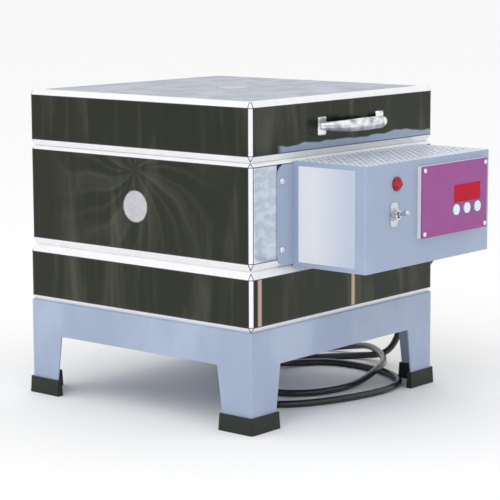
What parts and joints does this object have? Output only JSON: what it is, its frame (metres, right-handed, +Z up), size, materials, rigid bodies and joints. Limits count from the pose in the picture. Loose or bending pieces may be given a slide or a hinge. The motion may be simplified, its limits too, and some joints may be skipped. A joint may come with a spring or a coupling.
{
  "type": "top-loading electric kiln",
  "caption": "Square top-loading electric kiln: brick-lined steel sections on a folded stand, hinged lid, front control box and supply cord.",
  "frame": {"origin": "centre of the base on the floor, midway between the front of the switch lever and the rear hinge lugs", "axes": "+Z up; -Y is the front with the control box; +X is to the right seen from the front"},
  "size_m": [0.4139, 0.466, 0.3516],
  "materials": {
    "jacket": "polished, mirrors a dark room",
    "brick": "porous matte",
    "plug_brick": "porous matte",
    "stand_paint": "satin",
    "boot": "matte",
    "box_paint": "satin",
    "panel_trim": "satin",
    "panel_face": "satin",
    "display": "gloss",
    "key": "satin",
    "board": "semi-gloss",
    "screw": "bright",
    "bushing": "unglazed",
    "terminal": "satin",
    "element_wire": "oxidised matte",
    "probe": "matte",
    "hinge": "brushed",
    "handle": "bright",
    "jewel": "gloss",
    "lamp": "matte",
    "switch_case": "matte",
    "switch_bright": "bright",
    "relay_case": "matte",
    "core": "lacquered",
    "block": "matte",
    "wire": "satin",
    "cord_jacket": "matte",
    "blade": "bright"
  },
  "bodies": {
    "kiln": {"box_screws": "screw", "chamber_hinge_screws": "screw", "chamber_jacket": "jacket", "control_board": "board", "control_box": "box_paint", "cord_strain_relief": "cord_jacket", "deck_plate": "stand_paint", "display_window": "display", "element_bushings": "bushing", "element_terminals": "terminal", "floor_jacket": "jacket", "floor_slab": "brick", "hinge_chamber_leaf": "hinge", "hinge_pin": "hinge", "leg_boot_front_left": "boot", "leg_boot_front_right": "boot", "leg_boot_rear_left": "boot", "leg_boot_rear_right": "boot", "lower_element": "element_wire", "panel_frame": "panel_trim", "panel_plate": "panel_face", "panel_screws": "screw", "pilot_body": "lamp", "pilot_lens": "jewel", "plug_blades": "blade", "plug_body": "cord_jacket", "power_cord": "cord_jacket", "relay": "relay_case", "stand_apron_front": "stand_paint", "stand_apron_left": "stand_paint", "stand_apron_rear": "stand_paint", "stand_apron_right": "stand_paint", "stand_leg_front_left": "stand_paint", "stand_leg_front_right": "stand_paint", "stand_leg_rear_left": "stand_paint", "stand_leg_rear_right": "stand_paint", "switch_body": "switch_case", "switch_nut": "switch_bright", "switch_plate": "switch_bright", "terminal_block": "block", "thermocouple": "probe", "transformer": "core", "upper_element": "element_wire", "wall_brick_front": "brick", "wall_brick_left": "brick", "wall_brick_rear": "brick", "wall_brick_right": "brick", "wiring": "wire"},
    "lid": {"lid_jacket": "jacket", "lid_slab": "brick", "lid_handle": "handle", "handle_screws": "screw", "lid_hinge_screws": "screw", "hinge_lid_leaf": "hinge"},
    "vent_plug": {"vent_plug": "plug_brick"},
    "peephole_plug": {"peephole_plug": "plug_brick"},
    "switch_lever": {"switch_lever": "switch_bright"},
    "button_left": {"button_left": "key"},
    "button_middle": {"button_middle": "key"},
    "button_right": {"button_right": "key"}
  },
  "joints": [
    {"name": "lid_hinge", "type": "hinge", "parent": "kiln", "child": "lid", "pos_m": [0, 0.21996, 0.2894], "axis": [-1, 0, 0], "range_deg": [0, 99]},
    {"name": "vent_plug_lift", "type": "slide", "parent": "lid", "child": "vent_plug", "axis": [0, 0, 1], "range_m": [0, 0.08]},
    {"name": "peephole_plug_pull", "type": "slide", "parent": "kiln", "child": "peephole_plug", "axis": [-1, 0, 0], "range_m": [0, 0.08]},
    {"name": "switch_toggle", "type": "hinge", "parent": "kiln", "child": "switch_lever", "pos_m": [-0.0475, -0.21584, 0.2314], "axis": [1, 0, 0], "range_deg": [0, 26]},
    {"name": "button_left_press", "type": "slide", "parent": "kiln", "child": "button_left", "axis": [0, 1, 0], "range_m": [0, 0.0008], "stiffness_N_per_m": 400, "springref_m": -0.0005},
    {"name": "button_middle_press", "type": "slide", "parent": "kiln", "child": "button_middle", "axis": [0, 1, 0], "range_m": [0, 0.0008], "stiffness_N_per_m": 400, "springref_m": -0.0005},
    {"name": "button_right_press", "type": "slide", "parent": "kiln", "child": "button_right", "axis": [0, 1, 0], "range_m": [0, 0.0008], "stiffness_N_per_m": 400, "springref_m": -0.0005}
  ]
}
